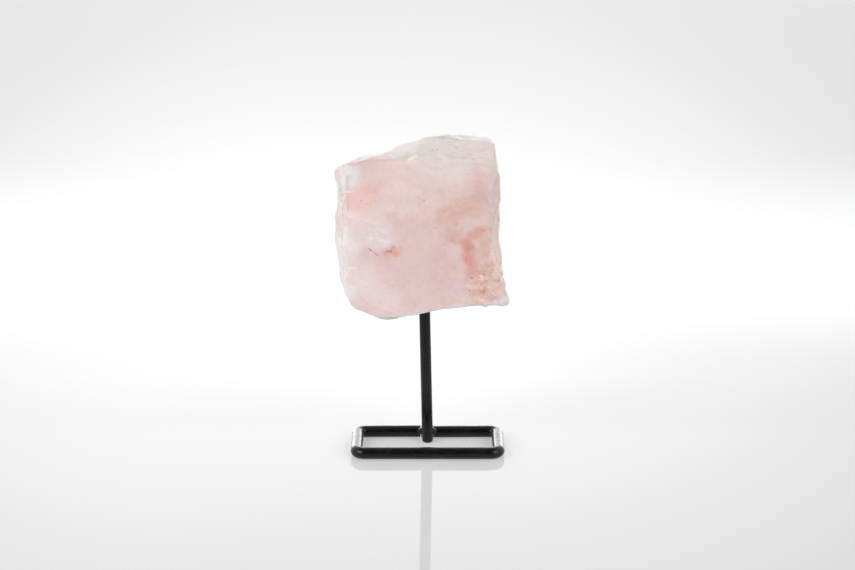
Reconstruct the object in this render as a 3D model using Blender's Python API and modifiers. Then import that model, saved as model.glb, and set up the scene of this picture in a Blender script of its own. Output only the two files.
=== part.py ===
"""A rough chunk of rose quartz held up on a black wire stand, at real size.

Metres, +Z up. The origin is the middle of the upright rod's foot, on the surface that the stand
rests on. The stone's broad face looks along -Y, and +X is to the right of someone facing it.
"""

import math

import bmesh
import bpy
from mathutils import Matrix, Vector, noise

MM = 0.001

# ---------------------------------------------------------------- driving dimensions
ROD_DIAMETER = 4.76 * MM  # 3/16 inch round bar
RING_WIRE_DIAMETER = 5.1 * MM  # the ring's bar is a little heavier than the rod's
FIT_GAP = 0.3 * MM  # clear space between pieces that touch
RING_WIDTH = 65.4 * MM  # outside, left to right
RING_DEPTH = 33.7 * MM  # outside, front to back
RING_BEND_RADIUS = 3.6 * MM  # at the wire's centreline
ROD_TO_RING = 1.8 * MM  # space between the rod and the back of the ring, bridged by the weld
ROD_LEAN = math.radians(1.22)  # to the left, going up
ROD_FOOT_ROUNDING = 1.2 * MM
ROD_SIDES = 28
ROD_TOP = 84.0 * MM  # height of the rod's hidden end, inside the stone
HOLE_DEPTH_PAST_ROD = 1.0 * MM
HOLE_CUTTER_BOTTOM = 40 * MM  # a height clear below the stone
# The ring is one wire bent round, and its two ends meet a little out of line beside the rod
RING_JOINT_X = -2.9 * MM
RING_END_OFFSET = 0.4 * MM  # how far each end slants off the back side's line
RING_SIDES = 8  # steps in each half of the wire's section

ROD_RADIUS = ROD_DIAMETER / 2
RING_WIRE_RADIUS = RING_WIRE_DIAMETER / 2
RING_BACK_Y = ROD_RADIUS + ROD_TO_RING + RING_WIRE_RADIUS  # of the wire's centreline
RING_FRONT_Y = RING_BACK_Y - (RING_DEPTH - RING_WIRE_DIAMETER)

# The blob of weld in the crook between the rod and the ring
WELD_MIDDLE = Vector((0, RING_BACK_Y * 0.62, RING_WIRE_RADIUS * 1.4))
WELD_REACH = Vector((4.4, 3.0, 2.5)) * MM  # half sizes
WELD_LUMPINESS = 0.10
WELD_LUMP_SIZE = 2.4 * MM
ROD_ROOM_HEIGHTS = (-2 * MM, 30 * MM)  # of the room cut out of the weld for the rod
RING_ROOM_LENGTH = 20 * MM
RING_ROOM_STRETCH = 1.3  # front to back, as the ring's two ends are out of line

# The block that the stone is broken from, and the box it is cut out of
STONE_MIDDLE = Vector((-3, -5, 101.5)) * MM
STONE_BLOCK = Vector((90, 64, 96)) * MM
STONE_VOXEL = 0.9 * MM
STONE_TRIANGLES = 6200

# Each broken face of the stone: a point on it in millimetres, and the way it looks
FRACTURE_FACES = {
    "front": ((0, -28, 95.55), (0.02, -1, 0.035)),
    "front_upper_right": ((8, -27.6, 123.05), (0.17, -0.82, 0.55)),
    "front_upper_bevel": ((8, -26.3, 123.95), (0.095, -0.91, 0.29)),
    "front_left_strip": ((-33.6, -28, 100.55), (-0.93, -0.37, 0.02)),
    "front_right_strip": ((25.4, -28, 112.55), (0.78, -0.62, 0.10)),
    "front_foot": ((0, -27.6, 62.15), (0.0, -0.80, -0.60)),
    "top_middle": ((0, -15, 136.95), (-0.22, -0.066, 1)),
    "top_left_back": ((-11, -14, 133.55), (-0.37, 0.35, 1)),
    "top_back": ((7, -10.5, 139.25), (0.16, 0.30, 1)),
    "top_right": ((7, -18.8, 137.95), (0.175, -0.14, 1)),
    "top_right_corner": ((27.6, -15, 134.55), (1, 0.05, 0.22)),
    "top_left_corner": ((-36.9, -26, 126.05), (-1, -0.15, 0.45)),
    "left": ((-37.9, -10, 108.55), (-1, 0.10, 0.0)),
    "left_lower": ((-36.3, -20, 85.55), (-1, -0.12, -0.17)),
    "left_foot": ((-32.4, -26, 70.45), (-0.86, -0.10, -0.51)),
    "underside_left": ((-21.4, -26, 64.55), (-0.35, -0.05, -1)),
    "underside": ((-14, -26, 63.25), (0.14, -0.02, -1)),
    "right": ((29.4, -8, 111.55), (1, 0.05, 0.06)),
    "back": ((0, 18, 104.55), (0.08, 1, 0.10)),
    "back_left": ((-27, 12, 100.55), (-0.62, 0.78, 0.08)),
    "back_right": ((24, 13, 96.55), (0.60, 0.80, -0.10)),
    "back_foot": ((0, 14, 76.55), (0.10, 0.72, -0.70)),
    "back_top": ((0, 12, 127.55), (-0.10, 0.70, 0.72)),
}

# Shell-shaped fracture hollows: the middle of each on the stone's surface, the side that the chip
# left by, the radius of the hollow's curve and how deep it reaches, in millimetres
HOLLOWS = {
    "front_low": ((3, -28, 81.55), (0.05, -1, 0.1), 95, 1.3),
    "front_high": ((-17, -28, 113.55), (-0.1, -1, 0.1), 70, 1.1),
    "front_right": ((17, -28, 101.55), (0.1, -1, 0.0), 90, 1.0),
    "upper_right": ((12, -22, 131.55), (0.17, -0.82, 0.55), 45, 1.5),
    "right_high": ((30, 2, 114.55), (1, 0.1, 0.1), 34, 2.2),
    "right_front": ((31, -18, 96.05), (1, -0.2, 0), 36, 4.2),
    "right_middle": ((30.6, -3, 93.55), (1, 0.05, 0.06), 30, 1.5),
    "right_low": ((32, 0, 82.55), (1, 0.2, -0.1), 30, 2.0),
    "left_high": ((-38.2, -13, 112.55), (-1, 0, 0), 17, 1.8),
    "left_side": ((-38, 2, 96.55), (-1, 0.1, 0), 44, 2.0),
    "top": ((4, -1, 136.55), (0.1, 0.2, 1), 40, 2.4),
    "top_left": ((-24, 0, 125.55), (-0.4, 0.4, 1), 36, 2.2),
    "back_high": ((9, 17, 114.55), (0.1, 1, 0.2), 38, 3.2),
    "back_low": ((-12, 17, 86.55), (-0.1, 1, -0.1), 42, 3.2),
    "back_corner": ((-30, 9, 110.55), (-0.7, 0.7, 0.1), 30, 2.6),
    "underside": ((9, -22, 66.75), (0, 0, -1), 40, 1.1),
    "underside_right": ((19, -22, 68.15), (0, 0, -1), 40, 1.2),
    "underside_left": ((-3.5, -20, 64.85), (0, 0, -1), 30, 1.4),
    "top_dent": ((17.5, -14, 136.95), (0, 0, 1), 20, 0.5),
    "right_top": ((28.6, -16, 129.05), (1, -0.1, 0.15), 26, 1.0),
    "top_chip": ((-10, -23, 132.55), (0.1, -0.45, 1), 30, 1.6),
}

# Places on the stone, and what roughens it, all in millimetres
BRUISE = Vector((-20.5, -28.3, 97.55))
UPPER_CHIP = Vector((-36.5, -21, 113.55))
LOWER_CHIP = Vector((-37, -20, 99.55))
ROUGH_CORNER = Vector((26, -26, 77.55))
TIP = Vector((31.5, -26, 69.05))
RIPPLE_PATCH = Vector((10, -22, 130.55))
RIPPLE_SOURCE = Vector((16, -2, 178.55))
RIPPLE_SPACING = 5.0
LEDGE_HEIGHT = 9.5
LEDGE_FALL = 0.25  # the share of a ledge that slopes back up to the next
# How far each kind of roughness stands out or sinks
BROAD_LUMPS = 0.7
FINE_LUMPS = 0.16
RIPPLES = 0.2
CRUMBS = 1.1
LEDGES = 1.2
CORNER_TIP = 1.2


# ---------------------------------------------------------------- scene and materials
def clear_scene():
    for obj in list(bpy.data.objects):
        bpy.data.objects.remove(obj, do_unlink=True)


def new_collection(name):
    collection = bpy.data.collections.new(name)
    bpy.context.scene.collection.children.link(collection)
    return collection


def new_material(name, colour, roughness, metallic=0.0):
    material = bpy.data.materials.new(name)
    material.use_nodes = True
    shader = material.node_tree.nodes["Principled BSDF"]
    shader.inputs["Base Color"].default_value = (*colour, 1)
    shader.inputs["Roughness"].default_value = roughness
    shader.inputs["Metallic"].default_value = metallic
    return material


def quartz_material():
    material = new_material("rose_quartz", (0.80, 0.56, 0.53), 0.35)
    shader = material.node_tree.nodes["Principled BSDF"]
    shader.inputs["IOR"].default_value = 1.54
    shader.inputs["Subsurface Weight"].default_value = 0.5
    return material


def black_paint():
    return new_material("black_enamel", (0.012, 0.012, 0.013), 0.22)


def weld_paint():
    return new_material("painted_weld", (0.014, 0.014, 0.015), 0.34)


def add_mesh_object(name, bm, collection, material=None):
    mesh = bpy.data.meshes.new(name)
    bm.to_mesh(mesh)
    bm.free()
    obj = bpy.data.objects.new(name, mesh)
    collection.objects.link(obj)
    if material:
        mesh.materials.append(material)
    return obj


def make_cutter(obj):
    obj.hide_render = True
    obj.display_type = "WIRE"
    return obj


def cut(obj, cutter):
    modifier = obj.modifiers.new("cut_" + cutter.name, "BOOLEAN")
    modifier.operation = "DIFFERENCE"
    modifier.object = cutter
    return modifier


def apply_modifiers(obj):
    """Makes the evaluated shape the object's own mesh."""
    bpy.context.view_layer.update()
    graph = bpy.context.evaluated_depsgraph_get()
    mesh = bpy.data.meshes.new_from_object(obj.evaluated_get(graph))
    obj.modifiers.clear()
    obj.data = mesh


# ---------------------------------------------------------------- the stand
def rod_axis():
    return Vector((-math.sin(ROD_LEAN), 0, math.cos(ROD_LEAN)))


def rod_point(height):
    """The point of the rod's axis at this height."""
    return rod_axis() * (height / math.cos(ROD_LEAN))


def round_foot(bm):
    """Rounds the lower rim of an upright cylinder that is centred on the origin."""
    rim = [edge for edge in bm.edges if all(vert.co.z < 0 for vert in edge.verts)]
    bmesh.ops.bevel(
        bm, geom=rim, offset=ROD_FOOT_ROUNDING, segments=5, profile=0.5, affect="EDGES"
    )


def build_rod(collection, material):
    """A straight bar whose foot is cut level with the table, though the bar leans."""
    bm = bmesh.new()
    bmesh.ops.create_cone(
        bm, cap_ends=True, segments=ROD_SIDES, radius1=ROD_RADIUS, radius2=ROD_RADIUS, depth=ROD_TOP
    )
    round_foot(bm)
    bmesh.ops.translate(bm, verts=bm.verts, vec=(0, 0, ROD_TOP / 2))
    for vert in bm.verts:
        vert.co.x -= vert.co.z * math.tan(ROD_LEAN)
    rod = add_mesh_object("upright_rod", bm, collection, material)
    rod.data.shade_smooth()
    rod.data.set_sharp_from_angle(angle=math.radians(50))
    return rod


def corner_arc(middle, start_degrees, steps=7):
    """Points of one bend of the ring, turning clockwise as seen from above."""
    points = []
    for step in range(steps + 1):
        angle = math.radians(start_degrees - 90 * step / steps)
        offset = Vector((math.cos(angle), math.sin(angle), 0)) * RING_BEND_RADIUS
        points.append(middle + offset)
    return points


def ring_path():
    """The wire's centreline, from its end behind the rod round the right, front and left."""
    x = RING_WIDTH / 2 - RING_WIRE_RADIUS - RING_BEND_RADIUS
    back = RING_BACK_Y - RING_BEND_RADIUS
    front = RING_FRONT_Y + RING_BEND_RADIUS
    z = RING_WIRE_RADIUS
    half_gap = FIT_GAP / 2
    path = [Vector((RING_JOINT_X + half_gap, RING_BACK_Y - RING_END_OFFSET, z))]
    path += corner_arc(Vector((x, back, z)), 90)
    path += corner_arc(Vector((x, front, z)), 0)
    path += corner_arc(Vector((-x, front, z)), -90)
    path += corner_arc(Vector((-x, back, z)), -180)
    path.append(Vector((RING_JOINT_X - half_gap, RING_BACK_Y + RING_END_OFFSET, z)))
    return path


def build_ring(collection, material):
    curve = bpy.data.curves.new("base_ring", "CURVE")
    curve.dimensions = "3D"
    curve.bevel_depth = RING_WIRE_RADIUS
    curve.bevel_resolution = RING_SIDES
    curve.use_fill_caps = True
    spline = curve.splines.new("POLY")
    path = ring_path()
    spline.points.add(len(path) - 1)
    for point, place in zip(spline.points, path):
        point.co = (*place, 1)
    curve.materials.append(material)
    ring = bpy.data.objects.new("base_ring", curve)
    collection.objects.link(ring)
    return ring


def build_weld(collection, cutters, material):
    """A blob in the crook between the rod and the ring, with the room of both cut out of it."""
    bm = bmesh.new()
    bmesh.ops.create_uvsphere(bm, u_segments=24, v_segments=14, radius=1)
    bmesh.ops.scale(bm, verts=bm.verts, vec=WELD_REACH)
    for vert in bm.verts:
        vert.co *= 1 + WELD_LUMPINESS * noise.noise(vert.co / WELD_LUMP_SIZE)
    bmesh.ops.translate(bm, verts=bm.verts, vec=WELD_MIDDLE)
    weld = add_mesh_object("weld_bead", bm, collection, material)
    weld.data.shade_smooth()
    cut(weld, rod_cutter("rod_room", ROD_RADIUS + FIT_GAP, *ROD_ROOM_HEIGHTS, cutters))
    cut(weld, ring_room(RING_WIRE_RADIUS + FIT_GAP, cutters))
    return weld


def rod_cutter(name, radius, bottom, top, cutters):
    """A round bar along the rod's own axis, between two heights."""
    bm = bmesh.new()
    bmesh.ops.create_cone(
        bm, cap_ends=True, segments=32, radius1=radius, radius2=radius, depth=top - bottom
    )
    turn = rod_axis().to_track_quat("Z", "Y").to_matrix().to_4x4()
    place = Matrix.Translation(rod_point((top + bottom) / 2))
    bmesh.ops.transform(bm, verts=bm.verts, matrix=place @ turn)
    return make_cutter(add_mesh_object(name, bm, cutters))


def ring_room(radius, cutters):
    """A straight bar, deep enough to hold both ends of the ring, which are out of line."""
    bm = bmesh.new()
    bmesh.ops.create_cone(
        bm, cap_ends=True, segments=32, radius1=radius, radius2=radius, depth=RING_ROOM_LENGTH
    )
    bmesh.ops.rotate(bm, verts=bm.verts, matrix=Matrix.Rotation(math.pi / 2, 3, "Y"))
    bmesh.ops.scale(bm, verts=bm.verts, vec=(1, RING_ROOM_STRETCH, 1))
    bmesh.ops.translate(bm, verts=bm.verts, vec=(0, RING_BACK_Y, RING_WIRE_RADIUS))
    return make_cutter(add_mesh_object("ring_room", bm, cutters))


# ---------------------------------------------------------------- the stone
def cut_face(bm, point, direction):
    """Breaks off all that lies past one flat face, and closes the block there."""
    every = bm.verts[:] + bm.edges[:] + bm.faces[:]
    done = bmesh.ops.bisect_plane(
        bm,
        geom=every,
        dist=1e-7,
        plane_co=Vector(point) * MM,
        plane_no=Vector(direction).normalized(),
        clear_outer=True,
    )
    edges = [part for part in done["geom_cut"] if isinstance(part, bmesh.types.BMEdge)]
    if edges:
        bmesh.ops.contextual_create(bm, geom=edges)


def broken_block():
    bm = bmesh.new()
    bmesh.ops.create_cube(bm, size=1)
    bmesh.ops.scale(bm, verts=bm.verts, vec=STONE_BLOCK)
    bmesh.ops.translate(bm, verts=bm.verts, vec=STONE_MIDDLE)
    for point, direction in FRACTURE_FACES.values():
        cut_face(bm, point, direction)
    bmesh.ops.recalc_face_normals(bm, faces=bm.faces)
    return bm


def hollow_cutter(name, middle, outward, radius, depth, cutters):
    """A ball that reaches just below the surface, to leave a shell-shaped hollow."""
    bm = bmesh.new()
    bmesh.ops.create_icosphere(bm, subdivisions=5, radius=radius * MM)
    outward = Vector(outward).normalized()
    centre = Vector(middle) * MM + outward * (radius - depth) * MM
    bmesh.ops.translate(bm, verts=bm.verts, vec=centre)
    return make_cutter(add_mesh_object("hollow_" + name, bm, cutters))


def near(point, middle, reach):
    """1 at the middle, falling smoothly to 0 at the reach."""
    distance = (point - middle).length / reach
    return max(0.0, 1 - distance * distance) ** 2


def ramp(value, start, end):
    """0 up to the start, rising evenly to 1 at the end."""
    return max(0.0, min(1.0, (value - start) / (end - start)))


def ripple(point):
    """Waves on the upper right, in arcs that run along with the top edge."""
    away = (point - RIPPLE_SOURCE).length
    wave = math.sin(away * math.tau / RIPPLE_SPACING + noise.noise(point * 0.12) * 2.5)
    return near(point, RIPPLE_PATCH, 27) * wave


def crumble(point):
    """Rough lumps: the lower right of the front, and the bruise on its left."""
    rough = near(point, ROUGH_CORNER, 18) + 0.8 * near(point, BRUISE, 8)
    return rough * noise.noise(point * 0.36 + Vector((7, 3, 1)))


def ledges(point):
    """Small uneven steps down the right-hand edge of the front."""
    edge = ramp(point.x, 24, 29) * ramp(-point.y, 2, 22)
    bent = noise.noise(Vector((point.x * 0.05, point.y * 0.06, point.z * 0.075)))
    tread = (point.z + 0.5 * point.y + 16 * bent) / LEDGE_HEIGHT
    worn = ramp(noise.noise(point * 0.09 + Vector((3, 8, 6))), -0.45, 0.35)
    along = tread - math.floor(tread)
    return -edge * worn * along * along * ramp(1 - along, 0, LEDGE_FALL)


def sunk(point):
    """The bruise is sunk a little, and two chips are out of the left-hand edge."""
    chips = 1.3 * near(point, UPPER_CHIP, 5) + 1.1 * near(point, LOWER_CHIP, 5.5)
    return -0.7 * near(point, BRUISE, 6.5) - chips


def relief(point):
    """How far the surface stands out at this point, all in millimetres."""
    broad = BROAD_LUMPS * noise.fractal(point * 0.075, 0.9, 2.1, 3)
    fine = FINE_LUMPS * noise.fractal(point * 0.2 + Vector((5, 9, 2)), 0.9, 2.0, 2)
    marks = RIPPLES * ripple(point) + CRUMBS * crumble(point) + LEDGES * ledges(point)
    return broad + fine + marks + sunk(point) + CORNER_TIP * near(point, TIP, 6)


def roughen(obj):
    mesh = obj.data
    moved = []
    for vert in mesh.vertices:
        moved.append(vert.co + vert.normal * relief(vert.co / MM) * MM)
    for vert, place in zip(mesh.vertices, moved):
        vert.co = place
    mesh.update()


def remesh(obj):
    modifier = obj.modifiers.new("even_grain", "REMESH")
    modifier.mode = "VOXEL"
    modifier.voxel_size = STONE_VOXEL
    apply_modifiers(obj)


def reduce_faces(obj):
    modifier = obj.modifiers.new("fewer_faces", "DECIMATE")
    triangles = sum(len(face.vertices) - 2 for face in obj.data.polygons)
    modifier.ratio = STONE_TRIANGLES / triangles
    apply_modifiers(obj)


def build_stone(collection, cutters, material):
    stone = add_mesh_object("rose_quartz_chunk", broken_block(), collection)
    for name, hollow in HOLLOWS.items():
        cut(stone, hollow_cutter(name, *hollow, cutters))
    apply_modifiers(stone)
    remesh(stone)
    roughen(stone)
    reduce_faces(stone)
    stone.data.materials.append(material)
    hole_top = ROD_TOP + HOLE_DEPTH_PAST_ROD
    hole = rod_cutter(
        "drilled_hole", ROD_RADIUS + FIT_GAP, HOLE_CUTTER_BOTTOM, hole_top, cutters
    )
    cut(stone, hole)
    return stone


def main():
    clear_scene()
    parts = new_collection("rose_quartz_on_stand")
    cutters = new_collection("cutters")
    paint = black_paint()
    build_ring(parts, paint)
    build_rod(parts, paint)
    build_weld(parts, cutters, weld_paint())
    build_stone(parts, cutters, quartz_material())


main()
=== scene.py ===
"""The looks of a rough chunk of rose quartz on its black wire stand. Metres, +Z up.

The stone's broad face looks along -Y. It is broken from the same block, by the same faces and
hollows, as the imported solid, with a finer grain, and the stand is made again as smooth tubes.
"""

import math

import bmesh
import bpy
import numpy as np
from mathutils import Matrix, Vector, noise


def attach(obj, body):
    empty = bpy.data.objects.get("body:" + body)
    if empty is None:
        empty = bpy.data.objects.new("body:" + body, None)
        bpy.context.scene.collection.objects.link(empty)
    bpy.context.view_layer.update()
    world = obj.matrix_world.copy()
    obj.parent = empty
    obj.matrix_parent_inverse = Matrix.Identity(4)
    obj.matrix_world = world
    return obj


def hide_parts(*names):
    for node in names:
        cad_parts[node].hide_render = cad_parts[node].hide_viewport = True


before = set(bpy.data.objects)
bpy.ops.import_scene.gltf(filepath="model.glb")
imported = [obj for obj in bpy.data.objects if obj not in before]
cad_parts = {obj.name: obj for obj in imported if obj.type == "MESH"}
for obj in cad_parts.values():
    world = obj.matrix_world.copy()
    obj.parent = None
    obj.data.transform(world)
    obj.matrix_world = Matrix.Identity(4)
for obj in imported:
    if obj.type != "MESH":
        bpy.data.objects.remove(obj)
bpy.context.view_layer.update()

MM = 0.001

# ---------------------------------------------------------------- the stand's sizes
ROD_RADIUS = 2.38 * MM
ROD_LEAN = math.radians(1.22)
ROD_TOP = 84.0 * MM
FIT_GAP = 0.3 * MM
RING_WIRE_RADIUS = 2.55 * MM
RING_WIDTH = 65.4 * MM
RING_DEPTH = 33.7 * MM
RING_BEND_RADIUS = 3.6 * MM
ROD_TO_RING = 1.8 * MM
ROD_FOOT_ROUNDING = 1.2 * MM
RING_JOINT_X = -2.9 * MM
RING_END_OFFSET = 0.4 * MM
RING_BACK_Y = ROD_RADIUS + ROD_TO_RING + RING_WIRE_RADIUS
RING_FRONT_Y = RING_BACK_Y - (RING_DEPTH - 2 * RING_WIRE_RADIUS)
RING_POINT_SPACING = 1.5 * MM
WELD_MIDDLE = Vector((0, RING_BACK_Y * 0.62, RING_WIRE_RADIUS * 1.4))
HOLE_CUTTER_BOTTOM = 40 * MM  # a height clear below the stone
HOLE_DEPTH_PAST_ROD = 1.0 * MM
# The unevenness of the wire's skin: how deep, and how wide its larger and its smaller lumps are
WIRE_WOBBLE = 0.03 * MM
LARGE_LUMP, SMALL_LUMP = 4 * MM, 1.3 * MM

# ---------------------------------------------------------------- the stone's shape
STONE_MIDDLE = Vector((-3, -5, 101.5)) * MM
STONE_BLOCK = Vector((90, 64, 96)) * MM
STONE_VOXEL = 0.55 * MM

# Each broken face: a point on it in millimetres, and the way it looks
FRACTURE_FACES = {
    "front": ((0, -28, 95.55), (0.02, -1, 0.035)),
    "front_upper_right": ((8, -27.6, 123.05), (0.17, -0.82, 0.55)),
    "front_upper_bevel": ((8, -26.3, 123.95), (0.095, -0.91, 0.29)),
    "front_left_strip": ((-33.6, -28, 100.55), (-0.93, -0.37, 0.02)),
    "front_right_strip": ((25.4, -28, 112.55), (0.78, -0.62, 0.10)),
    "front_foot": ((0, -27.6, 62.15), (0.0, -0.80, -0.60)),
    "top_middle": ((0, -15, 136.95), (-0.22, -0.066, 1)),
    "top_left_back": ((-11, -14, 133.55), (-0.37, 0.35, 1)),
    "top_back": ((7, -10.5, 139.25), (0.16, 0.30, 1)),
    "top_right": ((7, -18.8, 137.95), (0.175, -0.14, 1)),
    "top_right_corner": ((27.6, -15, 134.55), (1, 0.05, 0.22)),
    "top_left_corner": ((-36.9, -26, 126.05), (-1, -0.15, 0.45)),
    "left": ((-37.9, -10, 108.55), (-1, 0.10, 0.0)),
    "left_lower": ((-36.3, -20, 85.55), (-1, -0.12, -0.17)),
    "left_foot": ((-32.4, -26, 70.45), (-0.86, -0.10, -0.51)),
    "underside_left": ((-21.4, -26, 64.55), (-0.35, -0.05, -1)),
    "underside": ((-14, -26, 63.25), (0.14, -0.02, -1)),
    "right": ((29.4, -8, 111.55), (1, 0.05, 0.06)),
    "back": ((0, 18, 104.55), (0.08, 1, 0.10)),
    "back_left": ((-27, 12, 100.55), (-0.62, 0.78, 0.08)),
    "back_right": ((24, 13, 96.55), (0.60, 0.80, -0.10)),
    "back_foot": ((0, 14, 76.55), (0.10, 0.72, -0.70)),
    "back_top": ((0, 12, 127.55), (-0.10, 0.70, 0.72)),
}

# Shell-shaped fracture hollows: the middle of each on the stone's surface, the side that the chip
# left by, the radius of the hollow's curve and how deep it reaches, in millimetres
HOLLOWS = {
    "front_low": ((3, -28, 81.55), (0.05, -1, 0.1), 95, 1.3),
    "front_high": ((-17, -28, 113.55), (-0.1, -1, 0.1), 70, 1.1),
    "front_right": ((17, -28, 101.55), (0.1, -1, 0.0), 90, 1.0),
    "upper_right": ((12, -22, 131.55), (0.17, -0.82, 0.55), 45, 1.5),
    "right_high": ((30, 2, 114.55), (1, 0.1, 0.1), 34, 2.2),
    "right_front": ((31, -18, 96.05), (1, -0.2, 0), 36, 4.2),
    "right_middle": ((30.6, -3, 93.55), (1, 0.05, 0.06), 30, 1.5),
    "right_low": ((32, 0, 82.55), (1, 0.2, -0.1), 30, 2.0),
    "left_high": ((-38.2, -13, 112.55), (-1, 0, 0), 17, 1.8),
    "left_side": ((-38, 2, 96.55), (-1, 0.1, 0), 44, 2.0),
    "top": ((4, -1, 136.55), (0.1, 0.2, 1), 40, 2.4),
    "top_left": ((-24, 0, 125.55), (-0.4, 0.4, 1), 36, 2.2),
    "back_high": ((9, 17, 114.55), (0.1, 1, 0.2), 38, 3.2),
    "back_low": ((-12, 17, 86.55), (-0.1, 1, -0.1), 42, 3.2),
    "back_corner": ((-30, 9, 110.55), (-0.7, 0.7, 0.1), 30, 2.6),
    "underside": ((9, -22, 66.75), (0, 0, -1), 40, 1.1),
    "underside_right": ((19, -22, 68.15), (0, 0, -1), 40, 1.2),
    "underside_left": ((-3.5, -20, 64.85), (0, 0, -1), 30, 1.4),
    "top_dent": ((17.5, -14, 136.95), (0, 0, 1), 20, 0.5),
    "right_top": ((28.6, -16, 129.05), (1, -0.1, 0.15), 26, 1.0),
    "top_chip": ((-10, -23, 132.55), (0.1, -0.45, 1), 30, 1.6),
}

# Places on the stone, in millimetres
BRUISE = Vector((-20.5, -28.3, 97.55))
UPPER_CHIP = Vector((-36.5, -21, 113.55))
LOWER_CHIP = Vector((-37, -20, 99.55))
ROUGH_CORNER = Vector((26, -26, 77.55))
TIP = Vector((31.5, -26, 69.05))
RIPPLE_PATCH = Vector((10, -22, 130.55))
RIPPLE_SOURCE = Vector((16, -2, 178.55))
RIPPLE_REACH = 27
RIPPLE_SPACING = 5.0
LEFT_EDGE_X, LEFT_EDGE_Y = -33.8, -27.8  # the corner between the front and the strip on its left
LEDGE_HEIGHT = 9.5
LEDGE_FALL = 0.25  # the share of a ledge that slopes back up to the next
# How far each kind of roughness stands out or sinks, in millimetres
BROAD_LUMPS = 0.7
FINE_LUMPS = 0.16
RIPPLES = 0.2
CRUMBS = 1.1
LEDGES = 1.2
CORNER_TIP = 1.2
BRUISE_DEPTH, BRUISE_REACH = 0.7, 6.5
UPPER_CHIP_DEPTH, LOWER_CHIP_DEPTH = 1.3, 1.1
# The same for the finer relief, which only the looks have
GRAIN_HEIGHT = 0.07
CRUMB_PITS = 0.42
HACKLES = 0.14
BRUISE_GRAIN = 0.35
EDGE_WEAR = 0.9
EDGE_WEAR_REACH = 5
# The stone stays even round the hole: how far from the rod's axis its relief starts and is full, in
# millimetres, and the height above which that no longer counts
RELIEF_FROM_ROD = (2.9, 4.6)
RELIEF_ABOVE_ROD = ROD_TOP + 2 * MM

# ---------------------------------------------------------------- helpers
def new_object(name, bm, smooth=True):
    mesh = bpy.data.meshes.new(name)
    bm.to_mesh(mesh)
    bm.free()
    if smooth:
        mesh.shade_smooth()
    obj = bpy.data.objects.new(name, mesh)
    bpy.context.scene.collection.objects.link(obj)
    return obj


def apply_modifiers(obj):
    bpy.context.view_layer.update()
    graph = bpy.context.evaluated_depsgraph_get()
    mesh = bpy.data.meshes.new_from_object(obj.evaluated_get(graph))
    obj.modifiers.clear()
    obj.data = mesh


def node(tree, kind, inputs=None, **settings):
    """Adds a shader node. An input is a plain value, or the socket that feeds it."""
    made = tree.nodes.new(kind)
    for name, value in settings.items():
        setattr(made, name, value)
    for name, value in (inputs or {}).items():
        if isinstance(value, bpy.types.NodeSocket):
            tree.links.new(value, made.inputs[name])
        else:
            made.inputs[name].default_value = value
    return made


def new_material(name):
    material = bpy.data.materials.new(name)
    material.use_nodes = True
    tree = material.node_tree
    return material, tree, tree.nodes["Principled BSDF"]


# ---------------------------------------------------------------- the stone
def cut_face(bm, point, direction):
    every = bm.verts[:] + bm.edges[:] + bm.faces[:]
    done = bmesh.ops.bisect_plane(
        bm,
        geom=every,
        dist=1e-7,
        plane_co=Vector(point) * MM,
        plane_no=Vector(direction).normalized(),
        clear_outer=True,
    )
    edges = [part for part in done["geom_cut"] if isinstance(part, bmesh.types.BMEdge)]
    if edges:
        bmesh.ops.contextual_create(bm, geom=edges)


def broken_block():
    bm = bmesh.new()
    bmesh.ops.create_cube(bm, size=1)
    bmesh.ops.scale(bm, verts=bm.verts, vec=STONE_BLOCK)
    bmesh.ops.translate(bm, verts=bm.verts, vec=STONE_MIDDLE)
    for point, direction in FRACTURE_FACES.values():
        cut_face(bm, point, direction)
    bmesh.ops.recalc_face_normals(bm, faces=bm.faces)
    return bm


def hollow_ball(middle, outward, radius, depth):
    bm = bmesh.new()
    bmesh.ops.create_icosphere(bm, subdivisions=5, radius=radius * MM)
    outward = Vector(outward).normalized()
    centre = Vector(middle) * MM + outward * (radius - depth) * MM
    bmesh.ops.translate(bm, verts=bm.verts, vec=centre)
    return new_object("hollow", bm)


def rod_axis():
    return Vector((-math.sin(ROD_LEAN), 0, math.cos(ROD_LEAN)))


def rod_bar(radius, bottom, top, sides=48):
    """A round bar along the rod's axis, between two heights."""
    bm = bmesh.new()
    bmesh.ops.create_cone(
        bm, cap_ends=True, segments=sides, radius1=radius, radius2=radius, depth=top - bottom
    )
    turn = rod_axis().to_track_quat("Z", "Y").to_matrix().to_4x4()
    middle = rod_axis() * ((top + bottom) / 2 / math.cos(ROD_LEAN))
    bmesh.ops.transform(bm, verts=bm.verts, matrix=Matrix.Translation(middle) @ turn)
    return bm


def subtract(obj, cutters):
    for cutter in cutters:
        modifier = obj.modifiers.new("cut", "BOOLEAN")
        modifier.operation = "DIFFERENCE"
        modifier.object = cutter
    apply_modifiers(obj)
    for cutter in cutters:
        bpy.data.objects.remove(cutter, do_unlink=True)


def near(point, middle, reach):
    """1 at the middle, falling smoothly to 0 at the reach."""
    distance = (point - middle).length / reach
    return max(0.0, 1 - distance * distance) ** 2


def ramp(value, start, end):
    """0 up to the start, rising evenly to 1 at the end."""
    return max(0.0, min(1.0, (value - start) / (end - start)))


def ripple(point):
    """Waves on the upper right, in arcs that run along with the top edge."""
    away = (point - RIPPLE_SOURCE).length
    wave = math.sin(away * math.tau / RIPPLE_SPACING + noise.noise(point * 0.12) * 2.5)
    return near(point, RIPPLE_PATCH, RIPPLE_REACH) * wave


def crumble(point):
    """Rough lumps: the lower right of the front, and the bruise on its left."""
    rough = near(point, ROUGH_CORNER, 18) + 0.8 * near(point, BRUISE, 8)
    return rough * noise.noise(point * 0.36 + Vector((7, 3, 1)))


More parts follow.
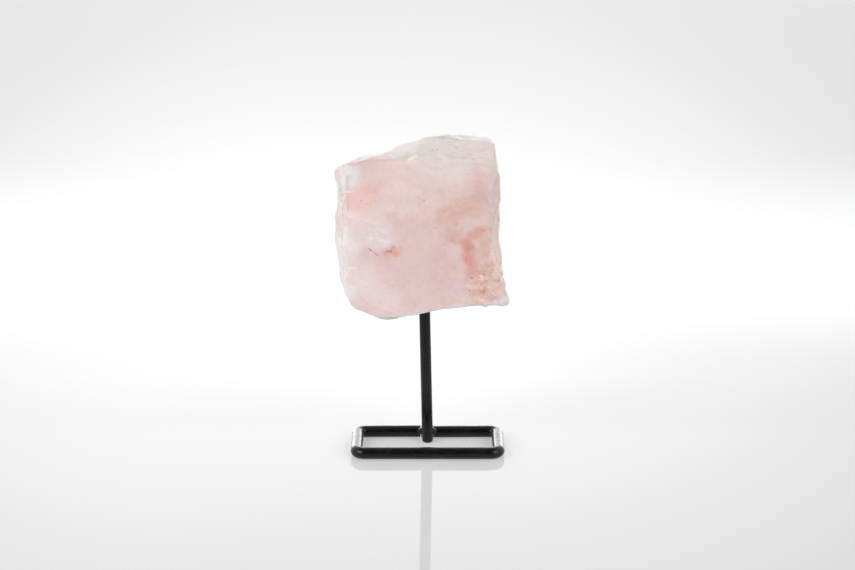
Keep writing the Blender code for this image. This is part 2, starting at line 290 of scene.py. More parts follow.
def ledges(point):
    """Small uneven steps down the right-hand edge of the front."""
    edge = ramp(point.x, 24, 29) * ramp(-point.y, 2, 22)
    bent = noise.noise(Vector((point.x * 0.05, point.y * 0.06, point.z * 0.075)))
    tread = (point.z + 0.5 * point.y + 16 * bent) / LEDGE_HEIGHT
    worn = ramp(noise.noise(point * 0.09 + Vector((3, 8, 6))), -0.45, 0.35)
    along = tread - math.floor(tread)
    return -edge * worn * along * along * ramp(1 - along, 0, LEDGE_FALL)


def sunk(point):
    chips = UPPER_CHIP_DEPTH * near(point, UPPER_CHIP, 5)
    chips += LOWER_CHIP_DEPTH * near(point, LOWER_CHIP, 5.5)
    return -BRUISE_DEPTH * near(point, BRUISE, BRUISE_REACH) - chips


def packed_relief(point):
    """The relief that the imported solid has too, in millimetres."""
    broad = BROAD_LUMPS * noise.fractal(point * 0.075, 0.9, 2.1, 3)
    fine = FINE_LUMPS * noise.fractal(point * 0.2 + Vector((5, 9, 2)), 0.9, 2.0, 2)
    marks = RIPPLES * ripple(point) + CRUMBS * crumble(point) + LEDGES * ledges(point)
    return broad + fine + marks + sunk(point) + CORNER_TIP * near(point, TIP, 6)


def fine_relief(point):
    """Grain, hackles and small chips that only the looks have, in millimetres."""
    from_edge = math.hypot(point.x - LEFT_EDGE_X, point.y - LEFT_EDGE_Y) / EDGE_WEAR_REACH
    worn = max(0.0, 1 - from_edge * from_edge) ** 2 * ramp(noise.noise(point * 0.22), -0.5, 0.35)
    grain = GRAIN_HEIGHT * noise.fractal(point * 0.9, 0.8, 2.2, 2)
    rough = near(point, ROUGH_CORNER, 17)
    crumbs = CRUMB_PITS * rough * abs(noise.noise(point * 0.8 + Vector((2, 2, 2))))
    upper = near(point, RIPPLE_PATCH + Vector((6, 0, 0)), 26)
    bent = point.z + 0.12 * point.x + 2.2 * noise.noise(point * 0.087)
    along = Vector((point.x * 0.10, point.y * 0.4, bent * 0.75))
    hackle = HACKLES * upper * noise.noise(along)
    bruised = BRUISE_GRAIN * near(point, BRUISE, BRUISE_REACH) * noise.noise(point * 0.75)
    return grain - crumbs + hackle + bruised - EDGE_WEAR * worn


def roughen(obj):
    mesh = obj.data
    moved = []
    for vert in mesh.vertices:
        point = vert.co / MM
        from_rod = (vert.co - rod_axis() * vert.co.dot(rod_axis())).length / MM
        free = ramp(from_rod, *RELIEF_FROM_ROD) if vert.co.z < RELIEF_ABOVE_ROD else 1.0
        outward = vert.normal * (packed_relief(point) + fine_relief(point))
        moved.append(vert.co + outward * free * MM)
    for vert, place in zip(mesh.vertices, moved):
        vert.co = place
    mesh.update()


def build_stone():
    stone = new_object("rose_quartz", broken_block())
    cutters = [hollow_ball(*hollow) for hollow in HOLLOWS.values()]
    hole_top = ROD_TOP + HOLE_DEPTH_PAST_ROD
    hole = rod_bar(ROD_RADIUS + FIT_GAP, HOLE_CUTTER_BOTTOM, hole_top)
    cutters.append(new_object("hole", hole))
    subtract(stone, cutters)
    modifier = stone.modifiers.new("even_grain", "REMESH")
    modifier.mode = "VOXEL"
    modifier.voxel_size = STONE_VOXEL
    soften = stone.modifiers.new("soften", "SMOOTH")
    soften.factor = 0.5
    soften.iterations = 2
    apply_modifiers(stone)
    roughen(stone)
    paint_clouds(stone)
    stone.data.shade_smooth()
    return stone


# ---------------------------------------------------------------- the stone's colours, with some painted shade and highlights
# Clouds of colour in the stone, a few of them painted shade or highlight as marked: the middle and
# the half sizes in millimetres, and the tilt in degrees about Y, then the colour and how strong it
# is
ZONES = {
    "upper_middle": ((-14, -26, 121), (19, 9, 13), -10, (0.799, 0.646, 0.62), 0.8),
    "upper_right": ((12, -22, 132.5), (27, 16, 16.5), -8, (0.717, 0.658, 0.638), 0.92),
    "high_right": ((22, -24, 118), (8, 9, 12), 0, (0.7, 0.5, 0.467), 0.85),
    "middle": ((2, -27, 104), (14, 8, 8), 0, (0.796, 0.588, 0.56), 0.7),
    "mauve": ((5.5, -26, 83), (12, 8, 17), 0, (0.73, 0.55, 0.534), 0.9),
    "low_middle": ((-7, -26, 80), (12, 8, 14), 0, (0.749, 0.595, 0.582), 0.8),
    "pale_middle": ((-31, -26, 104.5), (11, 9, 7.5), 8, (0.825, 0.689, 0.667), 0.85),
    "pale_left": ((-33.5, -25, 93), (10, 9, 13), 6, (0.835, 0.781, 0.772), 0.95),
    "pale_low": ((-28, -26, 79.5), (13, 10, 12), 25, (0.82, 0.716, 0.706), 0.9),
    "pale_edge": ((-32, -26, 75.5), (5, 8, 8), 25, (0.821, 0.785, 0.796), 0.8),
    "pale_foot": ((-17.5, -25, 72), (14, 9, 9), 18, (0.821, 0.715, 0.713), 0.85),
    "window": ((-31.4, -24, 122.6), (6.8, 14, 8.0), 0, (0.816, 0.794, 0.772), 0.95),
    "left_top": ((-36.6, -25, 120.5), (3, 8, 9), 0, (0.8, 0.765, 0.765), 0.85),
    # painted shade on the ridge that the left lamp lights, over the edge's own greyish colour
    "left_ridge_painted_shade": ((-33.9, -27, 116.5), (1.8, 6, 10), 0, (0.70, 0.63, 0.62), 0.5),
    "salmon": ((-28.6, -27, 113.2), (9.5, 8, 7.4), 14, (0.82, 0.602, 0.561), 0.95),
    "salmon_tail": ((-21.8, -27, 118.2), (7, 8, 4.6), -42, (0.807, 0.551, 0.517), 0.85),
    "bruise": ((-20.8, -28, 98.3), (9.6, 5, 8.6), 0, (0.79, 0.715, 0.702), 0.95),
    "spot": ((-15.0, -28, 92.1), (6.4, 5, 4.4), -8, (0.753, 0.485, 0.457), 0.9),
    "tan": ((15.5, -27, 110), (13.5, 9, 6.4), -14, (0.716, 0.502, 0.445), 0.95),
    "tan_left": ((8, -27, 106.8), (8, 9, 6.5), -20, (0.712, 0.5, 0.443), 0.9),
    "brown": ((10.2, -27, 99.2), (6.5, 7, 4.6), -10, (0.698, 0.484, 0.429), 0.8),
    "right_middle": ((24, -26, 92.5), (7.5, 8, 12), 0, (0.722, 0.509, 0.474), 0.9),
    "corner": ((23.5, -26, 78.5), (11, 10, 13.5), 10, (0.727, 0.481, 0.422), 0.95),
    "corner_edge": ((28.3, -26, 77), (4.5, 9, 8), -14, (0.749, 0.562, 0.516), 0.8),
    "branch": ((20.3, -27, 99.5), (7.6, 6, 3.2), -30, (0.714, 0.416, 0.365), 0.9),
    "vein_left": ((12.6, -28, 95.8), (5.0, 6, 2.4), 14, (0.70, 0.41, 0.36), 0.75),
    "vein_top": ((16.1, -28, 93.6), (4.4, 6, 4.8), 20, (0.69, 0.364, 0.32), 0.95),
    "vein": ((16.8, -28, 88.6), (4.0, 6, 8.5), -6, (0.702, 0.344, 0.284), 0.95),
    "vein_foot": ((17.5, -28, 83.6), (3.8, 6, 6), -5, (0.716, 0.403, 0.386), 0.85),
    "low_right": ((11, -25, 70), (16, 8, 4.2), -5, (0.709, 0.567, 0.527), 0.8),
    "lilac": ((13.4, -27, 75.4), (3.4, 5, 2.8), 0, (0.725, 0.588, 0.617), 0.95),
    "tip": ((30.6, -26, 71.2), (5, 6, 3.2), 0, (0.775, 0.71, 0.712), 0.95),
    "right_strip": ((25.8, -25, 112.5), (2.4, 8, 21), 1, (0.651, 0.557, 0.517), 0.9),
    "right_rim": ((28.8, -22, 111.5), (1.9, 8, 16), 1, (0.753, 0.54, 0.492), 0.85),
    "right_corner": ((28, -22, 126), (3, 10, 7), 0, (0.61, 0.545, 0.515), 0.7),
    "foot_rim": ((6, -24, 67.3), (60, 12, 2.5), -7, (0.735, 0.685, 0.68), 0.8),
    # painted highlight: the upward wedge lightened beyond its own pale colour
    "wedge_painted_highlight": ((-10.5, -20, 134.2), (15, 16, 4.8), -15, (0.845, 0.795, 0.785), 0.85),
    "wedge_left": ((-30, -20, 131.3), (8, 16, 3.2), -12, (0.656, 0.601, 0.627), 0.8),
    # painted shade: the top rim and the top's right corner darkened grey
    "top_rim_painted_shade": ((12, -16, 138.4), (20, 14, 2.4), 3, (0.495, 0.499, 0.488), 0.85),
    "top_corner_painted_shade": ((26.5, -20, 137.5), (3, 8, 3.4), 0, (0.57, 0.56, 0.555), 0.7),
}
# Small sharp marks in the same form: cracks, specks, short lines and painted glints
MARKS = {
    "red_line": ((-29.5, -27, 129.2), (7.5, 14, 0.6), -10, (0.76, 0.45, 0.42), 0.65),
    "red_line_end": ((-17.2, -27, 130.2), (7, 14, 0.6), 2, (0.76, 0.46, 0.43), 0.6),
    # painted highlight: a glint at the wedge's right end
    "glint": ((-6.2, -27, 130.6), (3.4, 14, 0.75), -22, (0.9, 0.84, 0.74), 0.8),
    "pale_band": ((-9.2, -27, 124.9), (5.5, 14, 1.3), 4, (0.80, 0.69, 0.67), 0.6),
    "red_patch": ((-8.2, -27, 127.4), (2.4, 14, 1.6), 0, (0.77, 0.52, 0.51), 0.5),
    "cool_spot": ((-29.6, -27, 123.6), (1.2, 14, 1.0), 0, (0.79, 0.79, 0.785), 0.6),
    "white_line": ((-33, -27, 117.0), (4.3, 14, 0.5), 0, (0.90, 0.86, 0.85), 0.75),
    "edge_dark_1": ((-35.2, -27, 114), (0.6, 14, 1.2), 0, (0.45, 0.36, 0.35), 0.55),
    "edge_dark_2": ((-35.5, -27, 111.5), (0.8, 14, 0.7), 0, (0.48, 0.38, 0.36), 0.55),
    "edge_dark_3": ((-34.9, -27, 108.7), (0.5, 14, 1.4), 0, (0.50, 0.40, 0.38), 0.55),
    "edge_brown": ((-35.4, -27, 98.6), (0.7, 14, 2.6), 0, (0.55, 0.42, 0.38), 0.6),
    "salmon_dot_1": ((-27.2, -27, 113.2), (0.7, 14, 0.7), 0, (0.60, 0.36, 0.34), 0.6),
    "salmon_dot_2": ((-25.1, -27, 111.9), (0.6, 14, 0.6), 0, (0.62, 0.38, 0.36), 0.5),
    "crack": ((-23.5, -28, 93.0), (1.9, 14, 0.45), 36, (0.36, 0.24, 0.25), 0.85),
    "crack_branch": ((-20.9, -28, 91.1), (1.2, 14, 0.42), 36, (0.42, 0.28, 0.29), 0.7),
    "spot_core_1": ((-15.8, -28, 92.3), (2.0, 14, 0.8), 0, (0.48, 0.20, 0.18), 0.65),
    "spot_core_2": ((-13.8, -28, 94.1), (1.0, 14, 0.9), 0, (0.55, 0.26, 0.23), 0.6),
    "spot_core_3": ((-17.4, -28, 91.4), (0.9, 14, 0.6), 0, (0.56, 0.30, 0.28), 0.5),
    "spot_orange": ((-12.8, -28, 91.5), (2.6, 14, 1.5), 0, (0.76, 0.4, 0.31), 0.7),
    "pale_dash": ((-31.4, -27, 85.2), (2.6, 14, 0.75), -10, (0.90, 0.87, 0.88), 0.7),
    "green_speck": ((-29.8, -27, 82.2), (0.9, 14, 0.9), 0, (0.70, 0.71, 0.62), 0.5),
    "foot_line": ((-25.4, -27, 70.8), (5.4, 14, 0.7), 38, (0.79, 0.53, 0.52), 0.55),
    "foot_line_end": ((-16.4, -27, 66.8), (5.8, 14, 0.7), 11, (0.77, 0.54, 0.53), 0.5),
    "foot_dark": ((-14.7, -26, 64.3), (4.4, 14, 0.7), 4, (0.50, 0.46, 0.46), 0.5),
    "upper_dot_1": ((1.9, -26, 133.5), (0.55, 14, 0.5), 0, (0.42, 0.37, 0.36), 0.6),
    "upper_dot_2": ((3.9, -26, 133.5), (0.6, 14, 0.55), 0, (0.45, 0.40, 0.39), 0.55),
    "upper_dot_3": ((12.2, -26, 133.2), (0.65, 14, 0.6), 0, (0.42, 0.37, 0.36), 0.65),
    # painted highlight: a small glint on the upper right
    "upper_glint": ((12.2, -26, 135.2), (1.2, 14, 0.6), 0, (0.92, 0.90, 0.88), 0.7),
    "green_grey": ((25.4, -24, 128.6), (2.2, 14, 2.0), 0, (0.64, 0.62, 0.57), 0.8),
    "middle_dot": ((-1.5, -28, 113.6), (0.75, 14, 0.7), 0, (0.50, 0.34, 0.33), 0.5),
    "tan_dot": ((12, -28, 103.8), (0.65, 14, 0.6), 0, (0.48, 0.32, 0.31), 0.5),
    "branch_dot": ((23.1, -27, 100.7), (1.0, 14, 0.9), 0, (0.57, 0.26, 0.23), 0.6),
    "thin_streak": ((3, -28, 101.7), (1.7, 14, 0.42), 25, (0.52, 0.36, 0.35), 0.5),
    "right_white": ((27.7, -27, 90.8), (3.0, 5, 0.6), -5, (0.93, 0.87, 0.83), 0.95),
    "right_red": ((28.8, -26, 86.3), (1.6, 5, 2.8), 0, (0.71, 0.40, 0.36), 0.85),
    "speck_1": ((18.1, -27, 80.6), (0.75, 14, 0.7), 0, (0.40, 0.24, 0.22), 0.65),
    "speck_2": ((17.4, -27, 75.4), (0.7, 14, 0.8), 0, (0.42, 0.26, 0.24), 0.6),
    "speck_3": ((23.3, -27, 75), (0.8, 14, 0.7), 0, (0.40, 0.24, 0.22), 0.65),
    "speck_4": ((23.2, -27, 82.3), (0.7, 14, 0.8), 0, (0.43, 0.27, 0.25), 0.6),
    "speck_5": ((29.9, -26, 80), (0.8, 6, 0.8), 0, (0.45, 0.28, 0.26), 0.6),
    "pale_speck_1": ((22, -27, 81.3), (1.0, 14, 0.8), 0, (0.90, 0.80, 0.72), 0.5),
    "pale_speck_2": ((25, -27, 77), (1.1, 14, 0.8), 0, (0.90, 0.80, 0.72), 0.5),
    "pale_speck_3": ((22.5, -26, 71.6), (1.1, 14, 0.8), 0, (0.86, 0.80, 0.60), 0.5),
}
PINK = (0.768, 0.604, 0.582)
PALE = (0.789, 0.64, 0.62)
DEEP = (0.748, 0.572, 0.546)
VEIL = (0.88, 0.80, 0.78)
SHADE = (0.60, 0.36, 0.33)
# Tints of the skin towards the front, by the way it looks: a direction, how squarely the skin faces
# it for none and for all of the tint, then the colour and how strong it is; the upward one is
# painted shade
FACING_TINTS_AND_TOP_SHADE = [
    # painted shade: the upward faces darkened grey, standing in for less light on the top
    ((0, 0, 1), 0.62, 0.9, (0.54, 0.525, 0.515), 0.85),
    ((0, 0, -1), 0.2, 0.6, (0.71, 0.68, 0.69), 0.9),
    ((1, 0, 0), 0.35, 0.8, (0.68, 0.51, 0.47), 0.8),
    ((-1, 0, 0), 0.4, 0.85, (0.765, 0.69, 0.66), 0.85),
]
# The pushes that make the clouds' borders ragged: how far, and the size of their noise
RAGGED = [(1.5, 4.6), (0.5, 1.5)]
LARGE_CLOUDS, MEDIUM_CLOUDS = 20, 8  # the sizes of the pale and the deep patches under them all
# Patches of fine grain: where, how far they reach, the grain's size and stretch, then the dark and
# the light colour and their strengths
GRAIN = {
    "corner": (
        (24, -26, 78), (11, 9, 13), (1.0, 1.0, 1.0),
        (0.52, 0.30, 0.26), 0.5, (0.88, 0.72, 0.67), 0.3,
    ),
    "right_edge": (
        (26.5, -24, 100), (5, 9, 34), (1.2, 1.2, 1.6),
        (0.52, 0.36, 0.32), 0.4, (0.86, 0.74, 0.69), 0.4,
    ),
    "upper_right": (
        (12, -22, 132), (25, 12, 12), (7, 2, 0.9),
        (0.58, 0.48, 0.45), 0.42, (0.86, 0.79, 0.76), 0.3,
    ),
    "left_edge": (
        (-34.5, -25, 82), (5, 14, 24), (1.1, 1.1, 1.4),
        (0.66, 0.56, 0.57), 0.4, (0.93, 0.90, 0.91), 0.6,
    ),
    "left_top": (
        (-36.2, -24, 108), (3, 14, 20), (0.9, 1.5, 1.8),
        (0.52, 0.42, 0.39), 0.6, (0.92, 0.88, 0.86), 0.6,
    ),
    "right_side": (
        (29.5, -20, 98), (4, 18, 32), (1.1, 1.6, 1.6),
        (0.48, 0.33, 0.30), 0.5, (0.86, 0.78, 0.74), 0.5,
    ),
    "bruise": (
        (-20.8, -28, 98.5), (9, 5, 8), (2.4, 1, 0.7),
        (0.66, 0.54, 0.54), 0.35, (0.93, 0.89, 0.88), 0.5,
    ),
    "spot": (
        (-14.6, -28, 92.6), (5.5, 4, 4), (0.9, 0.9, 0.9),
        (0.55, 0.26, 0.23), 0.5, (0.84, 0.62, 0.57), 0.3,
    ),
}


def millimetres(tree):
    """The place of a point of the surface, in the stone's own millimetres."""
    place = node(tree, "ShaderNodeTexCoord").outputs["Object"]
    inputs = {0: place, "Scale": 1 / MM}
    return node(tree, "ShaderNodeVectorMath", inputs, operation="SCALE").outputs[0]


def noise_at(tree, place, size, detail=2.0, distortion=0.0):
    inputs = {"Vector": place, "Scale": 1 / size, "Detail": detail, "Distortion": distortion}
    return node(tree, "ShaderNodeTexNoise", inputs)


def mapped(tree, value, low, high, to_low=0.0, to_high=1.0, even=False):
    """Carries the range low to high over to another, held at its ends, smoothly unless even."""
    inputs = {"Value": value, 1: low, 2: high, 3: to_low, 4: to_high}
    kind = "LINEAR" if even else "SMOOTHSTEP"
    return node(tree, "ShaderNodeMapRange", inputs, interpolation_type=kind).outputs[0]


def mix(tree, factor, first, second):
    inputs = {"Factor": factor, 6: first, 7: second}
    return node(tree, "ShaderNodeMix", inputs, data_type="RGBA").outputs[2]


def maths(tree, operation, first, second):
    return node(tree, "ShaderNodeMath", {0: first, 1: second}, operation=operation).outputs[0]


def times(tree, first, second):
    return maths(tree, "MULTIPLY", first, second)


def plus(tree, first, second):
    return maths(tree, "ADD", first, second)


def rest_of_one(tree, share):
    """What the share leaves of 1."""
    return maths(tree, "SUBTRACT", 1.0, share)


def warped(tree, place, size, amount):
    """The place pushed about by noise, so that a zone's edge is ragged."""
    shift = noise_at(tree, place, size, 3.0).outputs["Color"]
    inputs = {0: shift, 1: (0.5, 0.5, 0.5)}
    centred = node(tree, "ShaderNodeVectorMath", inputs, operation="SUBTRACT")
    pushed = node(
        tree,
        "ShaderNodeVectorMath",
        {0: centred.outputs[0], 1: (amount, amount, amount), 2: place},
        operation="MULTIPLY_ADD",
    )
    return pushed.outputs[0]


def zone_factor(tree, place, middle, half, tilt, strength):
    inputs = {
        "Vector": place,
        "Location": middle,
        "Rotation": (0, math.radians(tilt), 0),
        "Scale": half,
    }
    local = node(tree, "ShaderNodeMapping", inputs, vector_type="TEXTURE").outputs[0]
    length = node(tree, "ShaderNodeVectorMath", {0: local}, operation="LENGTH").outputs["Value"]
    return mapped(tree, length, 1.0, 0.3, 0.0, strength)


def grained(tree, place, colour, middle, half, size, dark, dark_strength, light, light_strength):
    """Adds dark and light grains to one patch of the surface."""
    inputs = {"Vector": place, "Scale": size}
    fine = node(tree, "ShaderNodeMapping", inputs, vector_type="TEXTURE").outputs[0]
    speckle = noise_at(tree, fine, 1.0, 2.0, 0.4).outputs["Fac"]
    patch = zone_factor(tree, place, middle, half, 0, 1.0)
    shade = times(tree, patch, mapped(tree, speckle, 0.44, 0.33, 0.0, dark_strength))
    colour = mix(tree, shade, colour, (*dark, 1))
    shine = times(tree, patch, mapped(tree, speckle, 0.56, 0.67, 0.0, light_strength))
    return mix(tree, shine, colour, (*light, 1))


def rising(values, low, high):
    """0 below the low value, 1 above the high one, with smooth ends."""
    part = np.clip((values - low) / (high - low), 0, 1)
    return part * part * (3 - 2 * part)


def zone_share(places, middle, half, tilt, strength):
    turn = math.radians(tilt)
    away = places - np.array(middle)
    across = math.cos(turn) * away[:, 0] - math.sin(turn) * away[:, 2]
    up = math.sin(turn) * away[:, 0] + math.cos(turn) * away[:, 2]
    local = np.stack([across, away[:, 1], up], axis=1) / np.array(half)
    return strength * rising(-np.linalg.norm(local, axis=1), -1.0, -0.3)


def push(point, size):
    """A smooth push in all three directions, each at most about 1."""
    scaled = point / size
    other, third = scaled + Vector((31, 7, 5)), scaled + Vector((3, 19, 41))
    return Vector((noise.noise(scaled), noise.noise(other), noise.noise(third)))


def ragged(point):
    """The point pushed about by noise, so that a cloud's border is ragged."""
    moved = point
    for far, size in RAGGED:
        moved = moved + far * push(point, size)
    return moved


def paint_clouds(stone):
    """Gives each vertex its cloud's colour, with ragged borders between the clouds, and paints
    shade on the top and a highlight on the wedge.
    """
    mesh = stone.data
    points = [vert.co / MM for vert in mesh.vertices]
    large = np.array([noise.noise(point / LARGE_CLOUDS) for point in points])
    medium = np.array([noise.fractal(point / MEDIUM_CLOUDS, 0.9, 2.0, 3) for point in points])
    places = np.array([tuple(ragged(point)) for point in points])
    colour = np.tile(np.array(PINK), (len(points), 1))
    steps = [(PALE, rising(large, -0.25, 0.3)), (DEEP, 0.6 * rising(medium, 0.0, 0.5))]
    normals = np.array([tuple(vert.normal) for vert in mesh.vertices])
    forward = rising(-places[:, 1], -4, 12)
    for direction, least, most, tint, strength in FACING_TINTS_AND_TOP_SHADE:
        facing = rising(normals @ np.array(direction), least, most)
        steps.append((tint, strength * forward * facing))
    for middle, half, tilt, tint, strength in ZONES.values():
        steps.append((tint, zone_share(places, middle, half, tilt, strength)))
    for tint, share in steps:
        colour += share[:, None] * (np.array(tint) - colour)
    layer = mesh.color_attributes.new("clouds", "FLOAT_COLOR", "POINT")
    layer.data.foreach_set("color", np.c_[colour, np.ones(len(points))].ravel())


def quartz_material():
    material, tree, shader = new_material("rose_quartz")
    place = millimetres(tree)
    colour = node(tree, "ShaderNodeAttribute", attribute_name="clouds").outputs["Color"]
    veil = noise_at(tree, warped(tree, place, 3, 3), 2.2, 3.0).outputs["Fac"]
    colour = mix(tree, mapped(tree, veil, 0.50, 0.70, 0.0, 0.16), colour, (*VEIL, 1))
    cloud = noise_at(tree, place, 1.5, 3.0, 0.5).outputs["Fac"]
    colour = mix(tree, mapped(tree, cloud, 0.48, 0.30, 0.0, 0.16), colour, (*SHADE, 1))
    for patch in GRAIN.values():
        colour = grained(tree, place, colour, *patch)
    shaken = warped(tree, place, 1.2, 0.9)
    for middle, half, tilt, tint, strength in MARKS.values():
        factor = zone_factor(tree, shaken, middle, half, tilt, strength)
        colour = mix(tree, factor, colour, (*tint, 1))
    tree.links.new(colour, shader.inputs["Base Color"])
    rough = noise_at(tree, place, 1.6, 3.0).outputs["Fac"]
    tree.links.new(mapped(tree, rough, 0.3, 0.7, 0.38, 0.6), shader.inputs["Roughness"])
    shader.inputs["IOR"].default_value = 1.5
    shader.inputs["Subsurface Weight"].default_value = 1.0
    shader.inputs["Subsurface Radius"].default_value = (1.0, 0.85, 0.80)
    shader.inputs["Subsurface Scale"].default_value = 0.6 * MM
    micro = noise_at(tree, place, 0.55, 3.0).outputs["Fac"]
    bump = node(tree, "ShaderNodeBump", {"Height": micro, "Strength": 0.35, "Distance": 0.12 * MM})
    tree.links.new(bump.outputs[0], shader.inputs["Normal"])
    return material


# ---------------------------------------------------------------- the stand
def corner_arc(middle, start_degrees, steps=14):
    points = []
    for step in range(steps + 1):
        angle = math.radians(start_degrees - 90 * step / steps)
        points.append(middle + Vector((math.cos(angle), math.sin(angle), 0)) * RING_BEND_RADIUS)
    return points


def ring_corners():
    x = RING_WIDTH / 2 - RING_WIRE_RADIUS - RING_BEND_RADIUS
    back = RING_BACK_Y - RING_BEND_RADIUS
    front = RING_FRONT_Y + RING_BEND_RADIUS
    z = RING_WIRE_RADIUS
    half_gap = FIT_GAP / 2
    path = [Vector((RING_JOINT_X + half_gap, RING_BACK_Y - RING_END_OFFSET, z))]
    path += corner_arc(Vector((x, back, z)), 90)
    path += corner_arc(Vector((x, front, z)), 0)
    path += corner_arc(Vector((-x, front, z)), -90)
    path += corner_arc(Vector((-x, back, z)), -180)
    path.append(Vector((RING_JOINT_X - half_gap, RING_BACK_Y + RING_END_OFFSET, z)))
    return path


def evenly_spaced(path, step):
    """The same line with a point at least every step, so that straight runs have points too."""
    points = [path[0]]
    for start, end in zip(path, path[1:]):
        pieces = max(1, math.ceil((end - start).length / step))
        points += [start.lerp(end, part / pieces) for part in range(1, pieces + 1)]
    return points


def tube(name, path, radius, sides, wobble):
    """A closed tube along a level path, with flat capped ends and a slightly uneven skin."""
    bm = bmesh.new()
    rings = []
    for index, middle in enumerate(path):
        before = path[max(index - 1, 0)]
        after = path[min(index + 1, len(path) - 1)]
        forward = (after - before).normalized()
        sideways = forward.cross(Vector((0, 0, 1))).normalized()
        upward = sideways.cross(forward)
        ring = []
        for side in range(sides):
            turn = math.tau * side / sides
            outward = sideways * math.cos(turn) + upward * math.sin(turn)
            skin = middle + outward * radius
            lump = wobble * noise.noise(skin / LARGE_LUMP)
            lump += 0.4 * wobble * noise.noise(skin / SMALL_LUMP)
            ring.append(bm.verts.new(middle + outward * (radius + min(lump, 0.0))))
        rings.append(ring)
    for first, second in zip(rings, rings[1:]):
        for side in range(sides):
            after = (side + 1) % sides
            bm.faces.new((first[side], first[after], second[after], second[side]))
    bm.faces.new(rings[0][::-1])
    bm.faces.new(rings[-1])
    bmesh.ops.recalc_face_normals(bm, faces=bm.faces)
    obj = new_object(name, bm)
    obj.data.set_sharp_from_angle(angle=math.radians(50))
    return obj


def build_ring():
    path = evenly_spaced(ring_corners(), RING_POINT_SPACING)
    return tube("base_ring_wire", path, RING_WIRE_RADIUS, 40, WIRE_WOBBLE)


def build_rod():
    """The upright, cut level at its foot though it leans."""
    bm = bmesh.new()
    bmesh.ops.create_cone(
        bm, cap_ends=True, segments=48, radius1=ROD_RADIUS, radius2=ROD_RADIUS, depth=ROD_TOP
    )
    rim = [edge for edge in bm.edges if all(vert.co.z < 0 for vert in edge.verts)]
    bmesh.ops.bevel(
        bm, geom=rim, offset=ROD_FOOT_ROUNDING, segments=6, profile=0.5, affect="EDGES"
    )
    bmesh.ops.translate(bm, verts=bm.verts, vec=(0, 0, ROD_TOP / 2))
    for vert in bm.verts:
        vert.co.x -= vert.co.z * math.tan(ROD_LEAN)
    rod = new_object("rod_bar", bm)
    rod.data.set_sharp_from_angle(angle=math.radians(50))
    return rod


def build_weld():
    """A lumpy bead in the crook between the rod and the ring, melted on to both."""
    bm = bmesh.new()
    bmesh.ops.create_icosphere(bm, subdivisions=5, radius=1)
    for vert in bm.verts:
        along = vert.co.x
        size = Vector((4.3, 2.6 - 0.5 * along * along, 2.4 - 0.7 * along * along)) * MM
        vert.co = Vector((vert.co.x * size.x, vert.co.y * size.y, vert.co.z * size.z))
        swell = 1 + 0.10 * noise.noise(vert.co / (2.4 * MM))
        swell += 0.03 * noise.noise(vert.co / (0.8 * MM))
        vert.co *= swell
    bmesh.ops.translate(bm, verts=bm.verts, vec=WELD_MIDDLE)
    return new_object("weld_lump", bm)


ENAMEL_DARK, ENAMEL_LIGHT = (0.002, 0.002, 0.002, 1), (0.006, 0.006, 0.006, 1)


def enamel_material():
    material, tree, shader = new_material("black_enamel")
    place = millimetres(tree)
    patch = noise_at(tree, place, 5, 3.0).outputs["Fac"]
    patchy = mapped(tree, patch, 0.4, 0.7)
    colour = mix(tree, patchy, ENAMEL_DARK, ENAMEL_LIGHT)
    tree.links.new(colour, shader.inputs["Base Color"])
    haze = noise_at(tree, place, 2.2, 3.0).outputs["Fac"]
    tree.links.new(mapped(tree, haze, 0.35, 0.7, 0.18, 0.28), shader.inputs["Roughness"])
    shader.inputs["IOR"].default_value = 1.33
    shader.inputs["Sheen Weight"].default_value = 0.12
    peel = noise_at(tree, place, 0.9, 2.0).outputs["Fac"]
    bump = node(tree, "ShaderNodeBump", {"Height": peel, "Strength": 0.25, "Distance": 0.1 * MM})
    tree.links.new(bump.outputs[0], shader.inputs["Normal"])
    return material


# ---------------------------------------------------------------- camera, floor and light
CAMERA_PLACE = (-0.0000432, -0.982394, 0.338265)
CAMERA_PITCH = math.radians(15.2596)
CAMERA_LENS = 101.0526


def build_camera():
    data = bpy.data.cameras.new("camera")
    data.sensor_width = 36
    data.lens = CAMERA_LENS
    camera = bpy.data.objects.new("camera", data)
    camera.location = CAMERA_PLACE
    camera.rotation_euler = (math.pi / 2 - CAMERA_PITCH, 0, 0)
    bpy.context.scene.collection.objects.link(camera)
    bpy.context.scene.camera = camera


FLOOR_RADIUS = 6.0
# The floor's own glow, a painted pool of light with a slight painted shade just behind the ring:
# how far behind the object, in metres, and how bright
POOL = [
    (-0.4, 0.28), (-0.14, 0.29), (-0.05, 0.338), (0.005, 0.357), (0.03, 0.35), (0.09, 0.405),
    (0.22, 0.365), (0.35, 0.318), (0.5, 0.285), (0.7, 0.195), (0.95, 0.12), (1.26, 0.055),
    (1.6, 0.03),
]


